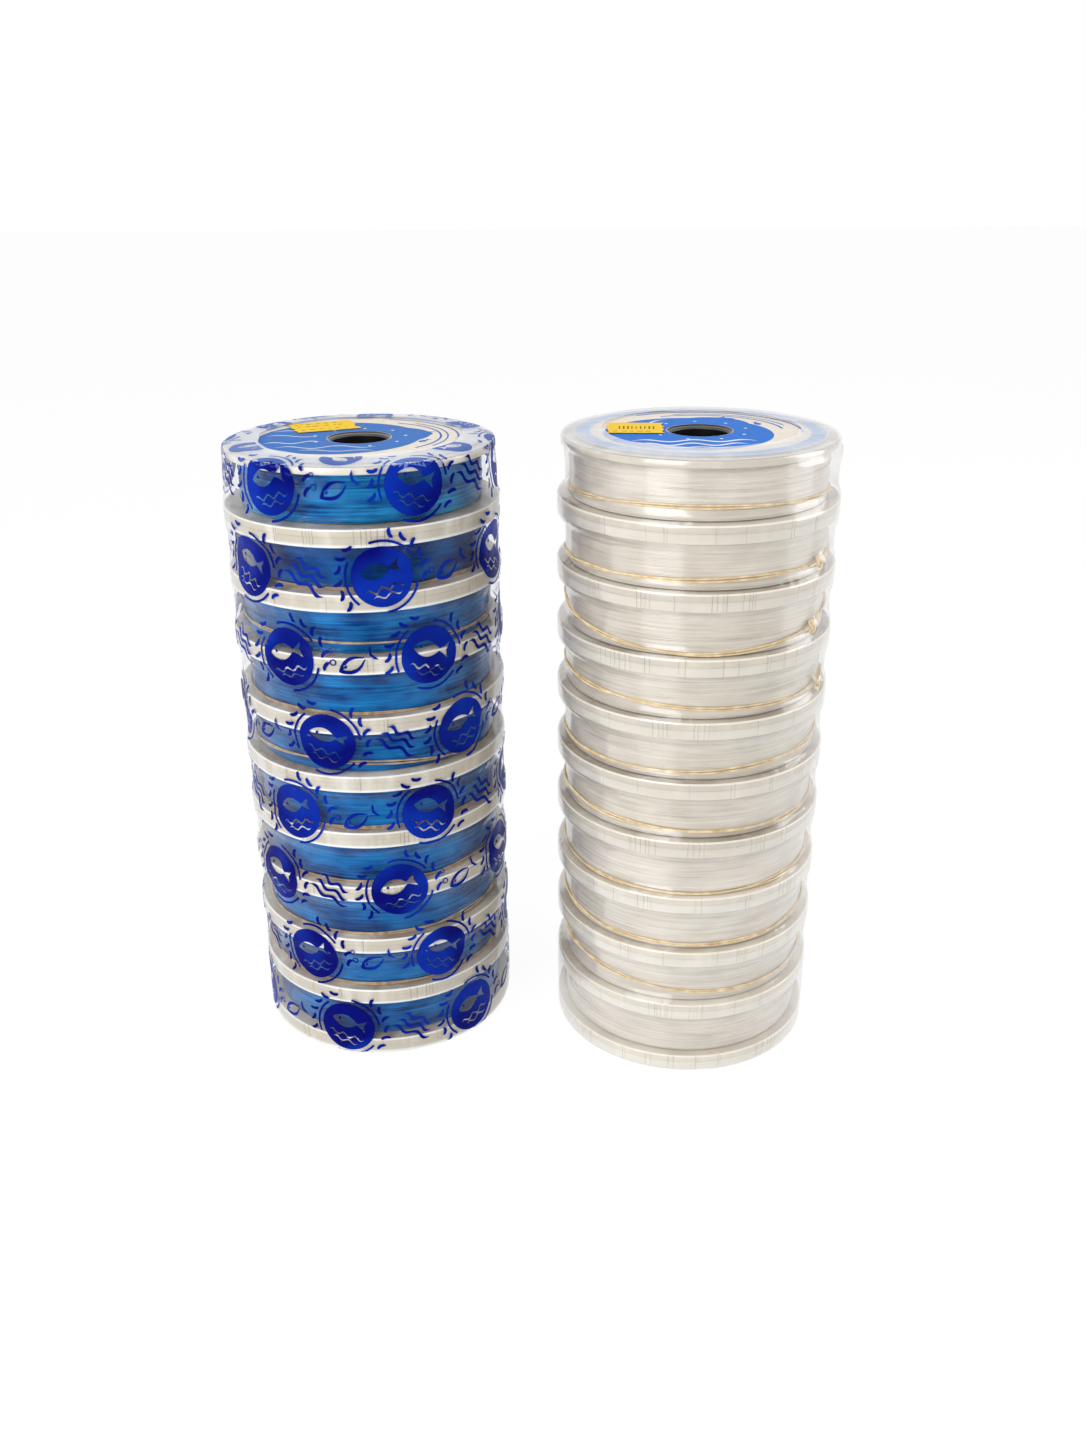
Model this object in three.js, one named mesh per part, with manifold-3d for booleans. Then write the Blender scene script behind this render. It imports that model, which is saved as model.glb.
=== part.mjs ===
// Two shrink-wrapped stacks of fishing line on spools, ten spools in each stack.
// Every spool is one moulding: a cup-shaped lower flange, a drum, an upper flange and a hub.
// The upper flange of one spool nests in the cup of the spool above it, so a stack
// shows a single rim at each joint. A drum carries a winding of line, rubber bands hold
// all but the lowest of the clear stack's windings, and shrink film draws in between rims.
// Millimetres, +Z up. The stacks stand side by side along X on the plane Z = 0.
import * as THREE from "three";
import { mergeVertices } from "three/addons/utils/BufferGeometryUtils.js";
import Module from "manifold-3d";

const wasm = await Module();
wasm.setup();

// ---- counts -------------------------------------------------------------------
const SPOOL_COUNT = 10; // spools in a stack
const ROUND = 20; // facets round flanges, film, line and bands
const HUB_ROUND = ROUND / 2; // facets round the bore, hub and drum
const TURN_COUNT = 6; // turns of line in the outer layer of a top spool

// ---- clearances ---------------------------------------------------------------
const SEAT = 0.3; // gap between faces that rest on each other
const NEST_CLEARANCE = 0.4; // gap round an upper flange inside the next cup
const TURN_GAP = 0.5; // gap between two turns of the outer layer

// ---- spool moulding -----------------------------------------------------------
const RIM_R = 45; // outside of the lower flange
const RIM_HEIGHT = 5.8; // outside height of the lower flange
const SKIRT_WALL = 1.2; // wall of the cup under the lower flange
const CUP_DEPTH = 4; // depth of the cup
const UPPER_FLANGE = 2.4; // thickness of the upper flange
const DRUM_R = 28.5; // outside of the drum
const DRUM_WALL = 1.5;
const HUB_WALL = 1.8; // wall of the tube round the bore
const BORE_R = 9; // hole for a spindle
const WEB = 1.8; // plate that joins hub and drum under the upper flange face

// ---- label, sticker, film and bands -------------------------------------------
const LABEL_R = 40;
const LABEL_MARGIN = 1.2; // paper stands back from the bore by this much
const PAPER = 0.3; // thickness of a label
const STICKER = 0.2; // thickness of a price sticker
const FILM = 0.4; // thickness of the shrink film
const SHOULDER = 3; // how far in from the flange edge the film slopes
const BAND_THICK = 0.8;
const BAND_WIDTH = 1.4;
const BAND_SLANT = 1.1; // a band lies lowest at the front and rises twice this much to the back
const BAND_SWING = 0.3; // how far, in radians, the lowest point moves from band to band
const BAND_LIFT = 0.6; // lowest point of a band above the flange

// ---- the two stacks -----------------------------------------------------------
const AXIS_SPACING = 109.4; // between the two stack axes
const STAGGER = 7.9; // the blue stack stands this much further back
const BLUE = {
  name: "blue",
  spoolHeight: 24.15,
  lineR: 41.3,
  topLineR: 39.5, // the top spool holds a little less line
  waistR: 44.2, // film between two rims
  topOpeningR: 33.3,
  bottomOpeningR: 30,
  banded: false,
  centre: [-AXIS_SPACING / 2, STAGGER / 2],
  sticker: { at: [-15.5, 18.5], turn: 0.42, size: [22, 17] },
  colours: { spool: 0xe9e5dc, line: 0x2a66a8, label: 0x3f6fc4, film: 0xdfe6f2 },
};
const CLEAR = {
  name: "clear",
  spoolHeight: 24.5,
  lineR: 42.2,
  topLineR: 41.2,
  waistR: 42.6,
  topOpeningR: 31.5,
  bottomOpeningR: 28,
  banded: true,
  centre: [AXIS_SPACING / 2, -STAGGER / 2],
  sticker: { at: [-20, 3], turn: -0.04, size: [18.5, 18] },
  colours: { spool: 0xd6d0c4, line: 0xe0dbd2, label: 0x1f56c9, film: 0xf2f2f0 },
};

// ---- sizes that follow from those above ---------------------------------------
const upperFlangeR = RIM_R - SKIRT_WALL - NEST_CLEARANCE;
const hubR = BORE_R + HUB_WALL;
const innerR = BORE_R / 2; // inside every revolved blank, cut away by the bore
const drumGrooveR = DRUM_R + SEAT / Math.cos(Math.PI / HUB_ROUND);
const footZ = FILM + SEAT; // the lowest spool stands on the film's bottom lip
const labelLift = SEAT;
const stickerLift = labelLift + PAPER + SEAT;
const lipLift = stickerLift + STICKER + SEAT;

const pitchOf = (kind) => kind.spoolHeight - CUP_DEPTH + SEAT;
const spoolZ = (kind, index) => footZ + index * pitchOf(kind); // index 0 is the lowest
const topZ = (kind) => spoolZ(kind, SPOOL_COUNT - 1) + kind.spoolHeight;

// ---- geometry helpers ---------------------------------------------------------
// A closed outline of [radius, height] pairs turned round the Z axis.
function revolve(outline, facets) {
  let doubledArea = 0;
  outline.forEach(([r, z], i) => {
    const [nextR, nextZ] = outline[(i + 1) % outline.length];
    doubledArea += r * nextZ - nextR * z;
  });
  const ordered = doubledArea > 0 ? outline : [...outline].reverse();
  const points = [...ordered, ordered[0]].map(([r, z]) => new THREE.Vector2(r, z));
  return new THREE.LatheGeometry(points, facets).rotateX(Math.PI / 2);
}

const ring = (inside, outside, bottom, top, facets) =>
  revolve([[inside, bottom], [outside, bottom], [outside, top], [inside, top]], facets);

function solidOf(geometry) {
  const bare = geometry.clone();
  bare.deleteAttribute("normal");
  bare.deleteAttribute("uv");
  const merged = mergeVertices(bare, 1e-5);
  return new wasm.Manifold(new wasm.Mesh({
    numProp: 3,
    vertProperties: Float32Array.from(merged.attributes.position.array),
    triVerts: Uint32Array.from(merged.index.array),
  }));
}

function geometryOf(solid) {
  const mesh = solid.getMesh();
  const geometry = new THREE.BufferGeometry();
  geometry.setAttribute("position", new THREE.BufferAttribute(mesh.vertProperties, 3));
  geometry.setIndex(new THREE.BufferAttribute(mesh.triVerts, 1));
  return geometry;
}

// A plug that cuts a hole of the hub's facets from one height to another.
const plug = (radius, bottom, top) =>
  solidOf(new THREE.CylinderGeometry(radius, radius, top - bottom, HUB_ROUND)
    .rotateX(Math.PI / 2)
    .translate(0, 0, (top + bottom) / 2));

// A tube of four sides along a row of points, closed at both ends.
function squareTube(path, radius) {
  const SIDES = 4;
  const positions = [];
  const index = [];
  const axis = new THREE.Vector3(0, 0, 1);
  path.forEach((point, i) => {
    const before = path[Math.max(i - 1, 0)];
    const after = path[Math.min(i + 1, path.length - 1)];
    const along = after.clone().sub(before).normalize();
    const outward = new THREE.Vector3(point.x, point.y, 0).normalize();
    const across = new THREE.Vector3().crossVectors(along, outward).normalize();
    const up = new THREE.Vector3().crossVectors(across, along).normalize();
    for (let side = 0; side < SIDES; side += 1) {
      const angle = (side / SIDES) * 2 * Math.PI;
      const corner = point.clone()
        .addScaledVector(across, radius * Math.cos(angle))
        .addScaledVector(up, radius * Math.sin(angle));
      positions.push(corner.x, corner.y, corner.z);
    }
    if (i === 0) return;
    for (let side = 0; side < SIDES; side += 1) {
      const next = (side + 1) % SIDES;
      const a = (i - 1) * SIDES + side;
      const b = (i - 1) * SIDES + next;
      const c = i * SIDES + side;
      const d = i * SIDES + next;
      index.push(a, d, b, a, c, d);
    }
  });
  const last = (path.length - 1) * SIDES;
  index.push(0, 1, 2, 0, 2, 3);
  index.push(last, last + 2, last + 1, last, last + 3, last + 2);
  const geometry = new THREE.BufferGeometry();
  geometry.setAttribute("position", new THREE.Float32BufferAttribute(positions, 3));
  geometry.setIndex(index);
  return geometry;
}

// ---- pieces -------------------------------------------------------------------
// One moulded spool: two flanges joined by a drum that is open underneath round the hub.
function spoolSolid(kind) {
  const height = kind.spoolHeight;
  const blank = [
    ring(innerR, RIM_R, 0, RIM_HEIGHT, ROUND),
    ring(innerR, DRUM_R, RIM_HEIGHT - SKIRT_WALL, height - UPPER_FLANGE / 2, HUB_ROUND),
    ring(innerR, upperFlangeR, height - UPPER_FLANGE, height, ROUND),
  ].map(solidOf).reduce((whole, piece) => whole.add(piece));
  const cup = solidOf(ring(innerR / 2, RIM_R - SKIRT_WALL, -CUP_DEPTH, CUP_DEPTH, ROUND));
  const hollow = ring(hubR, DRUM_R - DRUM_WALL, 0, height - WEB, HUB_ROUND);
  return blank
    .subtract(cup)
    .subtract(solidOf(hollow))
    .subtract(plug(BORE_R, 0, height + WEB));
}

// Line wound level between the flanges: plain all the way through to the drum.
function windingSolid(kind, outsideR) {
  const bottom = RIM_HEIGHT + SEAT;
  const top = kind.spoolHeight - UPPER_FLANGE - SEAT;
  return solidOf(ring(innerR, outsideR, bottom, top, ROUND))
    .subtract(plug(drumGrooveR, 0, kind.spoolHeight));
}

// The outer layer on a top spool: one unbroken helical tube over the plain winding.
// Its two ends stand straight for one tube diameter, square to the flanges they meet.
function outerLayer(kind) {
  const bottom = RIM_HEIGHT + SEAT;
  const top = kind.spoolHeight - UPPER_FLANGE - SEAT;
  const step = (top - bottom + TURN_GAP) / (TURN_COUNT + 2);
  const radius = (step - TURN_GAP) / 2;
  const routeR = kind.topLineR - radius / Math.cos(Math.PI / ROUND);
  const at = (facet, z) => {
    const angle = (facet / ROUND) * 2 * Math.PI;
    return new THREE.Vector3(routeR * Math.sin(angle), -routeR * Math.cos(angle), z);
  };
  const path = [at(0, bottom)];
  const first = bottom + 2 * radius + radius;
  for (let facet = 0; facet <= TURN_COUNT * ROUND; facet += 1) {
    path.push(at(facet, first + (facet / ROUND) * step));
  }
  path.push(at(TURN_COUNT * ROUND, top));
  return { path, radius, coreR: routeR - (radius + SEAT) / Math.cos(Math.PI / ROUND) };
}

// Least distance between neighbouring turns of a helical route, less one tube diameter.
function leastGap({ path, radius }) {
  const route = path.slice(1, -1);
  let least = Infinity;
  route.forEach((point, i) => {
    for (let j = i + ROUND / 2; j < route.length; j += 1) {
      least = Math.min(least, point.distanceTo(route[j]));
    }
  });
  return least - 2 * radius;
}

// A rubber band laid low round a winding. It slants, and lies lowest near the front.
function bandGeometry(lineR, swing) {
  const inside = lineR + SEAT;
  const bottom = RIM_HEIGHT + BAND_LIFT;
  const geometry = ring(inside, inside + BAND_THICK, bottom, bottom + BAND_WIDTH, ROUND);
  const position = geometry.attributes.position;
  for (let i = 0; i < position.count; i += 1) {
    const angle = Math.atan2(position.getY(i), position.getX(i));
    position.setZ(i, position.getZ(i) + BAND_SLANT * (1 + Math.sin(angle + swing)));
  }
  return geometry;
}

// Shrink film: tight on every rim, drawn in between rims but straight over the lowest
// winding, folded over at both ends.
function filmGeometry(kind) {
  const wallR = RIM_R + SEAT;
  const lipZ = topZ(kind) + lipLift;
  const inside = [[kind.bottomOpeningR, FILM], [wallR, FILM]];
  for (let index = 0; index < SPOOL_COUNT; index += 1) {
    const rimTop = spoolZ(kind, index) + RIM_HEIGHT;
    const nextRim = spoolZ(kind, index) + pitchOf(kind);
    if (index > 0) inside.push([wallR, spoolZ(kind, index)]);
    inside.push([wallR, rimTop]);
    if (index > 0) inside.push([kind.waistR, (rimTop + nextRim) / 2]);
  }
  inside.push([upperFlangeR + SEAT, topZ(kind) - UPPER_FLANGE]);
  inside.push([upperFlangeR + SEAT, topZ(kind) + SEAT]);
  inside.push([upperFlangeR - SHOULDER, lipZ]);
  inside.push([kind.topOpeningR, lipZ]);
  const outside = inside.map(([r, z], i) => {
    if (i === 0) return [r, 0];
    if (i === 1) return [r + FILM, 0];
    if (i >= inside.length - 2) return [r, z + FILM];
    return [r + FILM, z];
  });
  return revolve([...inside, ...outside.reverse()], ROUND);
}

const labelSolid = () =>
  solidOf(ring(innerR, LABEL_R, 0, PAPER, ROUND))
    .subtract(plug(BORE_R + LABEL_MARGIN, -PAPER, 2 * PAPER));

// A torn-off price sticker: a leaning rectangle with one ragged end.
function stickerGeometry({ size: [length, width] }) {
  const shape = new THREE.Shape();
  shape.moveTo(-length / 2, -width / 2);
  shape.lineTo(length / 2, -width / 2);
  shape.lineTo(length / 2, width * 0.2);
  shape.lineTo(length * 0.42, width / 2);
  shape.lineTo(-length * 0.4, width / 2);
  shape.lineTo(-length / 2, width * 0.3);
  return new THREE.ExtrudeGeometry(shape, { depth: STICKER, bevelEnabled: false });
}

// ---- materials ----------------------------------------------------------------
const matte = (color, roughness) =>
  new THREE.MeshStandardMaterial({ color, roughness, metalness: 0 });
const filmMaterial = (color) =>
  new THREE.MeshStandardMaterial({ color, roughness: 0.12, transparent: true, opacity: 0.3 });

// ---- assembly -----------------------------------------------------------------
function piece(name, geometry, material, z = 0) {
  const mesh = new THREE.Mesh(geometry, material);
  mesh.name = name;
  mesh.position.z = z;
  return mesh;
}

function stack(kind) {
  const group = new THREE.Group();
  const spoolShape = geometryOf(spoolSolid(kind));
  const windingShape = geometryOf(windingSolid(kind, kind.lineR));
  const layer = outerLayer(kind);
  const coreShape = geometryOf(windingSolid(kind, layer.coreR));
  for (let index = 0; index < SPOOL_COUNT; index += 1) {
    const number = String(SPOOL_COUNT - index).padStart(2, "0"); // 01 is the top spool
    const z = spoolZ(kind, index);
    const isTop = index === SPOOL_COUNT - 1;
    const { spool, line } = kind.colours;
    group.add(piece(`${kind.name}_spool_${number}`, spoolShape, matte(spool, 0.4), z));
    group.add(piece(
      `${kind.name}_line_${number}`, isTop ? coreShape : windingShape, matte(line, 0.3), z));
    if (kind.banded && index > 0) {
      const lineR = isTop ? kind.topLineR : kind.lineR;
      const band = bandGeometry(lineR, ((index % 3) - 1) * BAND_SWING);
      group.add(piece(`${kind.name}_band_${number}`, band, matte(0xd8a35a, 0.6), z));
    }
  }
  const top = topZ(kind);
  const topSpool = spoolZ(kind, SPOOL_COUNT - 1);
  const turns = squareTube(layer.path, layer.radius);
  group.add(piece(`${kind.name}_line_turns`, turns, matte(kind.colours.line, 0.3), topSpool));
  console.log(`${kind.name} turns: least gap ${leastGap(layer).toFixed(2)} mm`);
  group.add(piece(`${kind.name}_film`, filmGeometry(kind), filmMaterial(kind.colours.film)));
  group.add(piece(
    `${kind.name}_label`, geometryOf(labelSolid()), matte(kind.colours.label, 0.5),
    top + labelLift));
  const sticker = piece(
    `${kind.name}_sticker`, stickerGeometry(kind.sticker), matte(0xf5b817, 0.5),
    top + stickerLift);
  sticker.position.x = kind.sticker.at[0];
  sticker.position.y = kind.sticker.at[1];
  sticker.rotation.z = kind.sticker.turn;
  group.add(sticker);
  group.position.set(kind.centre[0], kind.centre[1], 0);
  return group;
}

const spoolStacks = new THREE.Group();
spoolStacks.add(stack(BLUE), stack(CLEAR));

export default spoolStacks;
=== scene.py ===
"""Two shrink-wrapped stacks of fishing line spools, ten spools to a stack.

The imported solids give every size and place. This script dresses them: moulded spools with
fillets and notched rims, line wound turn by turn, rubber bands, printed and plain shrink
film, paper labels and stickers. Lengths are metres unless a name says otherwise.
"""
import math
import random

import bpy
import numpy as np
from mathutils import Matrix, Vector
from mathutils.geometry import delaunay_2d_cdt


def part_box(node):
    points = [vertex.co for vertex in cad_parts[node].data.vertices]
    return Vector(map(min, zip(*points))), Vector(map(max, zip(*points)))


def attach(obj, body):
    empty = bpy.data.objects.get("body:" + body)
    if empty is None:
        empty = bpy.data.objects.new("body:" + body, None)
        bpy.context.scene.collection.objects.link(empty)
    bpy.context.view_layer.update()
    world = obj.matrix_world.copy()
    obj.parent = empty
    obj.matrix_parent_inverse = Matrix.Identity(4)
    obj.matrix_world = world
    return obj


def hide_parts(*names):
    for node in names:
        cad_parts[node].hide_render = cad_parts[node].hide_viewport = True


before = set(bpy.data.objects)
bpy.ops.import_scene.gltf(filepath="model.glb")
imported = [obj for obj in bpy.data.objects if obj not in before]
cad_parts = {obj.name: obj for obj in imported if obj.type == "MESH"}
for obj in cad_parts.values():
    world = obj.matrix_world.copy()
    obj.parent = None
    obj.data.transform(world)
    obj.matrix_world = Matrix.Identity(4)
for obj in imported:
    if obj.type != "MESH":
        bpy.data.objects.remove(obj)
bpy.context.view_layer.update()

MM = 0.001
TAU = 2 * math.pi
SPOOLS = 10

# ---- camera, measured from the rims in the photograph ----
CAMERA_AT = Vector((16.58, -426.97, 292.11)) * MM
CAMERA_PITCH = math.radians(23.06)
CAMERA_YAW = math.radians(1.646)
CAMERA_ROLL = math.radians(0.447)
FOCAL_PIXELS = 1326.6
IMAGE_LONG_SIDE = 1448
SENSOR = 36.0

# ---- spool moulding ----
RIM_HEIGHT = 5.8 * MM
SKIRT_WALL = 1.2 * MM
CUP_DEPTH = 4.0 * MM
UPPER_FLANGE = 2.4 * MM
NEST_CLEARANCE = 0.4 * MM  # round an upper flange inside the next cup
DRUM_WALL = 1.5 * MM
DRUM_R = 28.5 * MM
WEB = 1.8 * MM
BORE_R = 9.0 * MM
BORE_RING = 1.1 * MM  # ring round the bore on a flange face, painted dark grey as shade
SKIRT_LINE = 3.2 * MM  # height of the fine step round a rim
SKIRT_STEP = 0.22 * MM
HUB_WALL = 1.8 * MM
NOTCH_DEPTH = 0.28 * MM
NOTCH_WIDTH = 0.34 * MM
CORNER = 0.3 * MM  # radius of most of a spool's corners
FILLET = 0.8 * MM  # radius where a flange meets the drum
SPOOL_STEPS = 144  # columns of faces round a spool, before its notches

# ---- line, bands and film ----
LINE_DIAMETER = 0.42 * MM
LINE_STEPS = 84
POINTS_PER_TURN = 4
TURN_TROUGH = 0.2  # depth of the groove between two turns, in line diameters
TURN_WANDER = 0.05 * MM  # how far turns sink below others
STRAND = 0.62 * MM  # one of the two strands of a rubber band
STRAND_SPREAD = 0.42 * MM  # how far the strands part where they don't cross
BAND_TOP = 12.0 * MM  # the highest a band climbs above its rim
KNOT_SIZE = 1.5 * MM
KNOT_BUMP = 1.5 * MM  # how far a knot pushes the film out
KNOT_BUMP_REACH = 2.6 * MM
FILM_STEP = 0.9 * MM
FILM_STEPS = 360
FILM_CLEARANCE = 0.2 * MM
FILM_CORNER = 1.6 * MM  # radius of the film's bottom edge
FILM_SHOULDER = 1.0 * MM  # radius of its top edge
LIP_LIFT = 1.3 * MM  # folded film above the top flange
LIP_CURL = 0.35 * MM
LIP_WAVER = 0.5 * MM  # how unevenly the film's top opening is cut
TUCK_DEPTH = 0.12 * MM  # small tucks above and under a rim
INK_LIFT = 0.07 * MM
QUARTER_TURN = [k / 6 * math.pi / 2 for k in range(7)]  # angles along a rounded edge


class Stack:
    """Sizes and places of one stack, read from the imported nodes."""

    def __init__(self, name, waist, pull, wrinkle, opening_r, bottom_opening_r):
        self.name = name
        self.bumps = []  # angle and height of each knot under the film
        self.waist = waist  # how far the film draws in between two rims
        self.pull = pull  # how much more than that on the left, and less on the right
        self.wrinkle = wrinkle
        self.opening_r = opening_r
        self.bottom_opening_r = bottom_opening_r
        spools = [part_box(f"{name}_spool_{n:02d}") for n in range(1, SPOOLS + 1)]
        low, high = spools[0]
        self.centre = Vector(((low.x + high.x) / 2, (low.y + high.y) / 2, 0))
        self.rim_r = (high.x - low.x) / 2
        self.height = high.z - low.z
        self.floors = [box[0].z for box in spools]  # underside of each spool, top one first
        self.pitch = self.floors[0] - self.floors[1]
        self.top = high.z
        lines = [f"{name}_line_turns"] + [f"{name}_line_{n:02d}" for n in range(2, SPOOLS + 1)]
        boxes = [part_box(line) for line in lines]
        self.line_r = [(box[1].x - box[0].x) / 2 for box in boxes]  # top winding first
        label_low, label_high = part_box(f"{name}_label")
        self.label_z = label_high.z
        self.label_r = (label_high.x - label_low.x) / 2
        self.upper_r = self.rim_r - SKIRT_WALL - NEST_CLEARANCE

    def at(self, x, y, z):
        return (self.centre.x + x, self.centre.y + y, z)


BLUE = Stack("blue", waist=0.7 * MM, pull=0.0, wrinkle=0.2 * MM, opening_r=33.3 * MM,
             bottom_opening_r=30 * MM)
CLEAR = Stack("clear", waist=1.8 * MM, pull=0.9 * MM, wrinkle=0.14 * MM, opening_r=31.5 * MM,
              bottom_opening_r=28 * MM)

BLUE.line_r[1] = BLUE.line_r[0]  # the second blue winding is as lean as the top one
# Height of each rubber band above its rim at the left, the front and the right of the
# stack, in millimetres, by spool number.
BANDS = {
    "blue": {2: (0.5, 0.4, 0.5), 3: (4.6, 3.9, 3.0), 4: (0.4, 0.4, 0.4), 5: (2.6, 3.8, 0.7),
             6: (0.4, 0.4, 0.6), 7: (0.4, 0.4, 0.9), 8: (0.5, 0.4, 1.9), 9: (1.1, 0.7, 0.9)},
    "clear": {1: (3.5, 4.7, 3.8), 2: (3.0, 3.7, 4.2), 3: (5.4, 1.1, 5.4), 4: (5.8, 4.1, 3.7),
              5: (2.8, 3.2, 5.2), 6: (4.3, 3.0, 2.9), 7: (1.4, 0.7, 2.0), 8: (3.3, 1.8, 3.2),
              9: (8.2, 4.3, 4.8)},
}
BAND_ANGLES = [math.radians(a) for a in (-155, -90, -30)]
KNOTS = {2: -0.58, 3: -0.62, 4: -0.42}  # clear spool number to the angle of its band's knot


# ---- materials ----
def srgb(code):
    """A linear colour from a hex code."""
    channels = [int(code[i:i + 2], 16) / 255 for i in (1, 3, 5)]
    return tuple(c / 12.92 if c < 0.04045 else ((c + 0.055) / 1.055) ** 2.4
                 for c in channels) + (1.0,)


class Nodes:
    """Short ways to add nodes to a tree. An input takes a value or another node's output."""

    def __init__(self, tree):
        self.nodes, self.links = tree.nodes, tree.links

    def add(self, kind, inputs=(), **settings):
        node = self.nodes.new("ShaderNode" + kind)
        for name, value in settings.items():
            setattr(node, name, value)
        for socket, value in dict(inputs).items():
            if isinstance(value, bpy.types.NodeSocket):
                self.links.new(value, node.inputs[socket])
            else:
                node.inputs[socket].default_value = value
        return node

    def maths(self, operation, *values, **settings):
        return self.add("Math", dict(enumerate(values)), operation=operation,
                        **settings).outputs[0]

    def noise(self, scale, stretch=(1, 1, 1), detail=3.0, roughness=0.55):
        """Noise over object coordinates, with a scale for each axis."""
        where = self.add("TexCoord").outputs["Object"]
        place = self.add("Mapping", {"Vector": where, "Scale": stretch}).outputs[0]
        return self.add("TexNoise", {"Vector": place, "Scale": scale, "Detail": detail,
                                     "Roughness": roughness}).outputs["Fac"]

    def ramp(self, factor, spread, *colours):
        """Colours in even steps, as the factor goes from 0.5 - spread to 0.5 + spread."""
        node = self.add("ValToRGB", {"Fac": factor})
        elements = node.color_ramp.elements
        while len(elements) < len(colours):
            elements.new(0.5)
        for k, colour in enumerate(colours):
            elements[k].position = 0.5 + spread * (2 * k / (len(colours) - 1) - 1)
            elements[k].color = colour
        return node.outputs["Color"]

    def grey(self, factor, low, high, start=0.3, end=0.7):
        """A number from low to high as the factor goes from start to end."""
        return self.add("MapRange", {"Value": factor, "From Min": start, "From Max": end,
                                     "To Min": low, "To Max": high}).outputs["Result"]

    def mix(self, factor, first, second, blend="MIX"):
        return self.add("Mix", {0: factor, 6: first, 7: second}, data_type="RGBA",
                        blend_type=blend).outputs[2]


class Material(Nodes):
    """A node material with a principled surface."""

    def __init__(self, name, roughness, **sockets):
        self.material = bpy.data.materials.new(name)
        self.material.use_nodes = True
        super().__init__(self.material.node_tree)
        self.surface = self.nodes["Principled BSDF"]
        for socket, value in dict(sockets, Roughness=roughness).items():
            self.surface.inputs[socket.replace("_", " ")].default_value = value

    def feed(self, socket, output):
        self.links.new(output, self.surface.inputs[socket])

    def bump(self, height, strength, distance):
        node = self.add("Bump", {"Height": height, "Strength": strength, "Distance": distance})
        self.feed("Normal", node.outputs["Normal"])

    def show(self, share, first, second):
        """Show a mix of two shaders; the share is the second one's."""
        mixed = self.add("MixShader", {0: share, 1: first, 2: second}).outputs[0]
        self.links.new(mixed, self.nodes["Material Output"].inputs["Surface"])

    def show_through(self, share, tint):
        """Show a share of the surface and see through the rest."""
        clear = self.add("BsdfTransparent", {"Color": tint}).outputs[0]
        self.show(share, clear, self.surface.outputs[0])


def moulding(name, face, edge, edge_height, lip, ledge, flange, roughness, subsurface,
             coat=0.4, **sockets):
    """Moulded plastic: one tone up to a height on the rim, another above it, fine grain.

    The tone up to the height is a painted highlight along the ivory rim's lower edge. The rim's
    top edge has a painted highlight, the ledge inside it painted shade that goes from dark to
    light round the rim, and the upper flange painted light, a lighter tone than the rim face.
    """
    face, edge, lip, flange = map(srgb, (face, edge, lip, flange))
    made = Material(name, roughness, Subsurface_Weight=subsurface, Subsurface_Scale=0.004,
                    Subsurface_Radius=(1.0, 0.8, 0.6), Coat_Weight=coat, Coat_Roughness=0.12,
                    **sockets)
    flow = made.noise(5.0, (9, 9, 50), detail=4.0)
    specks = made.noise(160.0, (1, 1, 0.25), detail=2.0)
    where = made.add("TexCoord").outputs["Object"]
    level = made.add("SeparateXYZ", {0: where}).outputs["Z"]
    # Up to edge_height the rim takes the edge tone: a painted highlight on its lower edge.
    above = made.grey(level, 0.0, 1.0, edge_height - 0.4 * MM, edge_height + 0.4 * MM)
    tone = made.mix(above, edge, face)
    # Painted shade on the ledge inside the rim, dark to light in patches; then lip, a painted
    # highlight on the rim's top edge, and flange, painted light on the upper flange.
    depth = made.ramp(made.noise(28.0, detail=2.0), 0.1, *map(srgb, ledge))
    flange_at = BLUE.height - UPPER_FLANGE / 2
    for colour, height, reach in ((lip, RIM_HEIGHT - 0.3 * MM, 0.27 * MM),
                                  (depth, RIM_HEIGHT + 0.5 * MM, 0.52 * MM),
                                  (flange, flange_at, UPPER_FLANGE / 2 + 0.1 * MM)):
        tone = made.mix(made.maths("COMPARE", level, height, reach), tone, colour)
    shaded = made.mix(made.grey(flow, 0.0, 1.0), tone, (0.9, 0.9, 0.9, 1), "MULTIPLY")
    bright = tuple(min(1, c * 1.15) for c in edge)
    made.feed("Base Color", made.mix(made.grey(specks, 0.0, 0.35, 0.5, 0.75), shaded, bright))
    made.feed("Roughness", made.grey(flow, roughness - 0.06, roughness + 0.1))
    made.bump(made.noise(900.0, detail=2.0), 0.15, 0.1 * MM)
    return made.material


def plain_moulding(name, code, roughness, coat, **sockets):
    """Moulded plastic of one tone."""
    return moulding(name, code, code, 0.0, code, (code, code), code, roughness, 0.0, coat,
                    **sockets)


def nylon(name, codes, roughness, bunching, **sockets):
    """Line wound level: long streaks round the drum, fine across it."""
    deep, middle, bright = map(srgb, codes)
    made = Material(name, roughness, **sockets)
    streaks = made.noise(3.0, (12, 12, 500), detail=5.0, roughness=0.65)
    bunches = made.noise(3.0, (22, 22, 60), detail=2.0)
    mixed = made.ramp(streaks, 0.17, deep, middle, bright)
    shade = made.ramp(bunches, 0.15, deep, bright)
    made.feed("Base Color", made.mix(bunching, mixed, shade))
    made.feed("Roughness", made.grey(streaks, roughness - 0.06, roughness + 0.08))
    made.bump(streaks, 0.25, 0.1 * MM)
    return made.material


def see_through(name, haze, patches, edge, gloss, roughness, tint, tone):
    """Thin clear film: see-through face on, mirror-like and milky at a slant."""
    made = Material(name, roughness, Base_Color=tone, IOR=1.5, Metallic=gloss)
    cloud = made.noise(70.0, (1, 1, 0.5), detail=4.0)
    patch = made.grey(cloud, haze - patches, haze + patches, 0.35, 0.65)
    facing = made.add("LayerWeight", {"Blend": 0.35}).outputs["Facing"]
    slant = made.maths("POWER", facing, 1.7)
    made.bump(made.noise(260.0, (1, 1, 0.35), detail=3.0), 0.12, 0.3 * MM)
    made.show_through(made.maths("MULTIPLY_ADD", slant, edge, patch, use_clamp=True), tint)
    return made.material


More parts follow.
